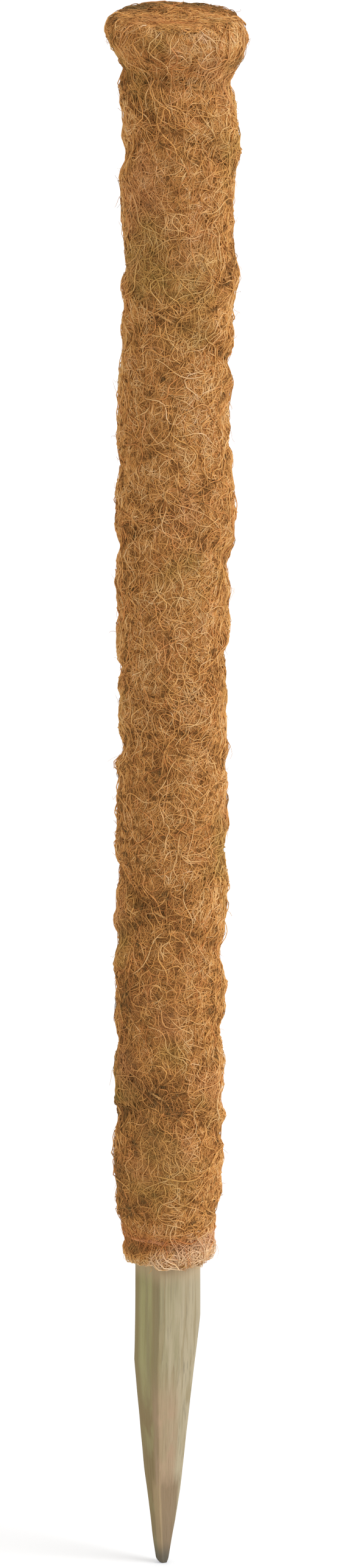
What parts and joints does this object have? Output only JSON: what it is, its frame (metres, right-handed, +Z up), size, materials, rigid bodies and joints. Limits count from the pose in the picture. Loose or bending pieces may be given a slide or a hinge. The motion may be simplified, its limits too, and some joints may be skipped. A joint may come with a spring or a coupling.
{
  "type": "moss pole",
  "caption": "Moss pole for climbing plants: a pointed square wooden stake wrapped in coconut fibre, bound with crossing threads, with a flared tied lip.",
  "frame": {"origin": "tip of the stake, on the pole's axis", "axes": "+Z up along the pole from the tip to the coir lip; the front of the pole, where the stake shows an arris, faces -Y"},
  "size_m": [0.0526, 0.0522, 0.6],
  "materials": {
    "coir": "matted coconut fibre",
    "wood": "hewn, weathered softwood",
    "thread": "twisted brown thread",
    "wire": "galvanised wire"
  },
  "bodies": {
    "root": {"stake": "wood", "coir_inner_wrap": "coir", "coir_outer_mat": "coir", "crown_wad": "coir", "binding_thread_right_hand": "thread", "binding_thread_left_hand": "thread", "neck_tie": "thread", "hem_tie": "thread", "staple_top_front": "wire", "staple_top_back": "wire", "staple_bottom_front": "wire", "staple_bottom_back": "wire"}
  },
  "joints": []
}
